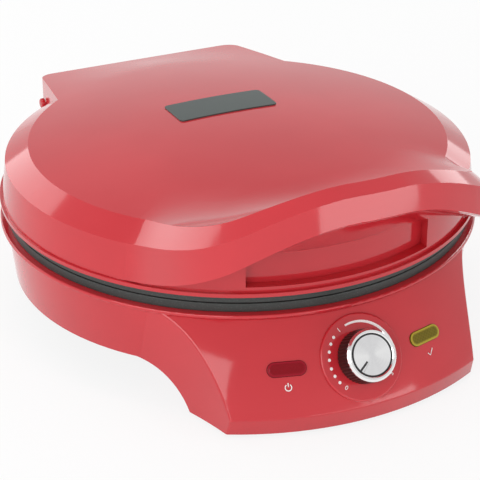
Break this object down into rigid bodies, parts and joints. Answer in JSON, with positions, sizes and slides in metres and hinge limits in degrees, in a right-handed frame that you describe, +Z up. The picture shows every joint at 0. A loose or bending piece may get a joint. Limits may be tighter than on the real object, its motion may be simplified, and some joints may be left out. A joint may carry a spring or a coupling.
{
  "type": "electric pizza maker",
  "caption": "Round countertop pizza maker with a domed lid that sweeps up into a handle and opens on a rear hinge, facing cooking plates, a dial and lamps on a flared front foot.",
  "frame": {"origin": "on the table, centred in plan on the whole object's width and depth, under the cooking plates' centre", "axes": "+Z up, -Y towards the front with the dial and handle, +X to the viewer's right when the object is seen from its front"},
  "size_m": [0.34, 0.4196, 0.1709],
  "materials": {
    "shell_red": "glossy red moulded shell",
    "frame_red": "glossy red moulded frame",
    "plate_dark": "dark non-stick coating over cast aluminium",
    "floor_dark": "matt black moulded floor",
    "element_steel": "dull steel sheath",
    "sheet_steel": "bright sheet steel",
    "screw_steel": "plated steel",
    "pad_rubber": "soft black rubber",
    "knob_dark": "dark bright fluted barrel",
    "knob_chrome": "bright chrome ring",
    "knob_metal": "circular brushed face",
    "lens_red": "dark red clear window",
    "lens_green": "yellow-green clear window",
    "lamp_glass": "small clear lamp",
    "thermostat_body": "pale moulded body",
    "brass": "turned brass",
    "terminal_white": "white moulded block",
    "gland_black": "black rubber bush",
    "fuse_metal": "plain sleeve"
  },
  "bodies": {
    "base": {"base_housing": "shell_red", "bottom_cover": "floor_dark", "foot_cover": "floor_dark", "lower_plate": "plate_dark", "lower_element": "element_steel", "lower_clips": "sheet_steel", "lower_reflector": "sheet_steel", "lower_plate_screws": "screw_steel", "floor_screws": "screw_steel", "front_pads": "pad_rubber", "rear_pads": "pad_rubber", "thermostat": "thermostat_body", "thermostat_nut": "brass", "power_lens": "lens_red", "ready_lens": "lens_green", "power_lamp": "lamp_glass", "ready_lamp": "lamp_glass", "terminal_block": "terminal_white", "cable_gland": "gland_black", "thermal_fuse": "fuse_metal"},
    "lid": {"lid_cover": "shell_red", "lid_frame": "frame_red", "upper_plate": "plate_dark", "upper_element": "element_steel", "upper_clips": "sheet_steel", "upper_reflector": "sheet_steel", "upper_plate_screws": "screw_steel", "lid_screws": "screw_steel", "hinge_pins": "screw_steel"},
    "knob": {"knob_body": "knob_dark", "knob_ring": "knob_chrome", "knob_disc": "knob_metal", "thermostat_shaft": "brass"}
  },
  "joints": [
    {"name": "lid_hinge", "type": "hinge", "parent": "base", "child": "lid", "pos_m": [0, 0.172, 0.098], "axis": [-1, 0, 0], "range_deg": [0, 100]},
    {"name": "dial_turn", "type": "hinge", "parent": "base", "child": "knob", "pos_m": [0, -0.1885, 0.043], "axis": [0, 0.8414, -0.5404], "range_deg": [0, 267]}
  ]
}
